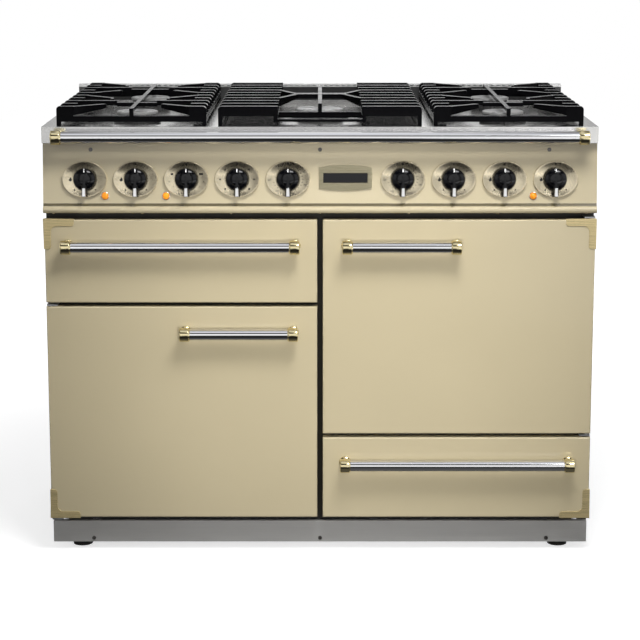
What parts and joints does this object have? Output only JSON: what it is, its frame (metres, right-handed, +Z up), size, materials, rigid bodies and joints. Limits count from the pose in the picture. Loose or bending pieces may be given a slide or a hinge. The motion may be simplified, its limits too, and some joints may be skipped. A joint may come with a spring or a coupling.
{
  "type": "range cooker",
  "caption": "Free-standing double-column dual-fuel range cooker: gas hob with cast supports over a grill, two ovens and a storage drawer.",
  "frame": {"origin": "centre of the bounding box, on the floor", "axes": "+X to the right of someone facing the cooker, +Y to its back, +Z up; the doors face -Y"},
  "size_m": [1.092, 0.648, 0.91],
  "materials": {
    "cream_enamel": "glossy vitreous enamel",
    "black_enamel": "satin black enamel",
    "oven_enamel": "glossy speckled enamel",
    "stainless": "fine brushed",
    "brass": "satin",
    "champagne_metal": "satin",
    "badge_metal": "satin",
    "knob_black": "glossy",
    "chrome": "polished",
    "cast_iron": "satin enamel",
    "burner_alloy": "cast, satin",
    "cap_enamel": "satin grey enamel",
    "tap_brass": "cast, dull",
    "zinc_steel": "zinc plated",
    "element_steel": "dark sheathed heating element",
    "seal_rope": "woven glass rope",
    "neon_amber": "clear amber"
  },
  "bodies": {
    "cooker": {"base_frame": "black_enamel", "base_strip": "stainless", "side_panels": "black_enamel", "rear_panel": "zinc_steel", "front_frame": "black_enamel", "left_oven_cavity": "oven_enamel", "right_oven_cavity": "oven_enamel", "grill_chamber": "oven_enamel", "heating_elements": "element_steel", "fan_units": "zinc_steel", "shelf_supports": "chrome", "door_seals": "seal_rope", "door_hinges": "zinc_steel", "drawer_runners": "zinc_steel", "control_panel": "cream_enamel", "knob_bezels": "champagne_metal", "badge_plate": "badge_metal", "neon_lamps": "neon_amber", "tap_and_switch_bodies": "tap_brass", "gas_pipes": "tap_brass", "hob_tray": "stainless", "rear_vent_trim": "stainless", "hand_rail": "stainless", "hand_rail_brackets": "brass", "burner_bases": "burner_alloy", "burner_crowns": "burner_alloy", "burner_caps": "cap_enamel", "fixing_screws": "chrome"},
    "feet": {"levelling_feet": "black_enamel"},
    "left_support": {"left_pan_support": "cast_iron"},
    "centre_support": {"centre_pan_support": "cast_iron"},
    "right_support": {"right_pan_support": "cast_iron"},
    "left_shelf": {"left_oven_shelf": "chrome"},
    "right_shelf": {"right_oven_shelf": "chrome"},
    "left_fan_wheel": {"left_fan": "zinc_steel"},
    "right_fan_wheel": {"right_fan": "zinc_steel"},
    "grill_tray": {"grill_carriage": "chrome", "grill_pan": "oven_enamel"},
    "grill_flap": {"grill_door": "cream_enamel", "grill_door_handle": "stainless", "grill_door_brasses": "brass"},
    "left_door": {"left_oven_door": "cream_enamel", "left_oven_door_handle": "stainless", "left_oven_door_brasses": "brass"},
    "right_door": {"right_oven_door": "cream_enamel", "right_oven_door_handle": "stainless", "right_oven_door_brasses": "brass"},
    "drawer": {"drawer_front": "cream_enamel", "drawer_box": "zinc_steel", "drawer_handle": "stainless", "drawer_brasses": "brass"},
    "dial_1": {"knob_1": "knob_black"},
    "dial_2": {"knob_2": "knob_black"},
    "dial_3": {"knob_3": "knob_black"},
    "dial_4": {"knob_4": "knob_black"},
    "dial_5": {"knob_5": "knob_black"},
    "dial_6": {"knob_6": "knob_black"},
    "dial_7": {"knob_7": "knob_black"},
    "dial_8": {"knob_8": "knob_black"},
    "dial_9": {"knob_9": "knob_black"}
  },
  "joints": [
    {"name": "grill_door_hinge", "type": "hinge", "parent": "cooker", "child": "grill_flap", "pos_m": [-0.275, -0.275, 0.53], "axis": [1, 0, 0], "range_deg": [0, 90]},
    {"name": "left_oven_door_hinge", "type": "hinge", "parent": "cooker", "child": "left_door", "pos_m": [-0.5355, -0.275, 0.295], "axis": [0, 0, -1], "range_deg": [0, 100]},
    {"name": "right_oven_door_hinge", "type": "hinge", "parent": "cooker", "child": "right_door", "pos_m": [0.5355, -0.275, 0.47], "axis": [0, 0, 1], "range_deg": [0, 100]},
    {"name": "drawer_slide", "type": "slide", "parent": "cooker", "child": "drawer", "axis": [0, -1, 0], "range_m": [0, 0.4]},
    {"name": "left_shelf_slide", "type": "slide", "parent": "cooker", "child": "left_shelf", "axis": [0, -1, 0], "range_m": [0, 0.123]},
    {"name": "right_shelf_slide", "type": "slide", "parent": "cooker", "child": "right_shelf", "axis": [0, -1, 0], "range_m": [0, 0.123]},
    {"name": "grill_carriage_slide", "type": "slide", "parent": "cooker", "child": "grill_tray", "axis": [0, -1, 0], "range_m": [0, 0.118]},
    {"name": "left_fan_spin", "type": "hinge", "parent": "cooker", "child": "left_fan_wheel", "pos_m": [-0.275, 0.181, 0.296], "axis": [0, -1, 0], "continuous": true},
    {"name": "right_fan_spin", "type": "hinge", "parent": "cooker", "child": "right_fan_wheel", "pos_m": [0.275, 0.181, 0.471], "axis": [0, -1, 0], "continuous": true},
    {"name": "left_pan_support_lift", "type": "slide", "parent": "cooker", "child": "left_support", "axis": [0, 0, 1], "range_m": [0, 0.08]},
    {"name": "centre_pan_support_lift", "type": "slide", "parent": "cooker", "child": "centre_support", "axis": [0, 0, 1], "range_m": [0, 0.08]},
    {"name": "right_pan_support_lift", "type": "slide", "parent": "cooker", "child": "right_support", "axis": [0, 0, 1], "range_m": [0, 0.08]},
    {"name": "feet_levelling", "type": "slide", "parent": "cooker", "child": "feet", "axis": [0, 0, -1], "range_m": [0, 0.045]},
    {"name": "knob_1_turn", "type": "hinge", "parent": "cooker", "child": "dial_1", "pos_m": [-0.463, -0.27601, 0.7675], "axis": [0, -0.9945, 0.1045], "range_deg": [0, 215]},
    {"name": "knob_2_turn", "type": "hinge", "parent": "cooker", "child": "dial_2", "pos_m": [-0.363, -0.27601, 0.7675], "axis": [0, -0.9945, 0.1045], "range_deg": [0, 215]},
    {"name": "knob_3_turn", "type": "hinge", "parent": "cooker", "child": "dial_3", "pos_m": [-0.263, -0.27601, 0.7675], "axis": [0, -0.9945, 0.1045], "range_deg": [-160, 160]},
    {"name": "knob_4_turn", "type": "hinge", "parent": "cooker", "child": "dial_4", "pos_m": [-0.163, -0.27601, 0.7675], "axis": [0, -0.9945, 0.1045], "continuous": true},
    {"name": "knob_5_turn", "type": "hinge", "parent": "cooker", "child": "dial_5", "pos_m": [-0.063, -0.27601, 0.7675], "axis": [0, 0.9945, -0.1045], "range_deg": [0, 270]},
    {"name": "knob_6_turn", "type": "hinge", "parent": "cooker", "child": "dial_6", "pos_m": [0.163, -0.27601, 0.7675], "axis": [0, 0.9945, -0.1045], "range_deg": [0, 270]},
    {"name": "knob_7_turn", "type": "hinge", "parent": "cooker", "child": "dial_7", "pos_m": [0.263, -0.27601, 0.7675], "axis": [0, -0.9945, 0.1045], "range_deg": [0, 215]},
    {"name": "knob_8_turn", "type": "hinge", "parent": "cooker", "child": "dial_8", "pos_m": [0.363, -0.27601, 0.7675], "axis": [0, -0.9945, 0.1045], "range_deg": [0, 215]},
    {"name": "knob_9_turn", "type": "hinge", "parent": "cooker", "child": "dial_9", "pos_m": [0.463, -0.27601, 0.7675], "axis": [0, -0.9945, 0.1045], "range_deg": [0, 215]}
  ],
  "couplings": [
    {"joint": "left_shelf_slide", "follows": "left_oven_door_hinge", "m_per_rad": 0.07},
    {"joint": "right_shelf_slide", "follows": "right_oven_door_hinge", "m_per_rad": 0.07},
    {"joint": "grill_carriage_slide", "follows": "grill_door_hinge", "m_per_rad": 0.075}
  ]
}
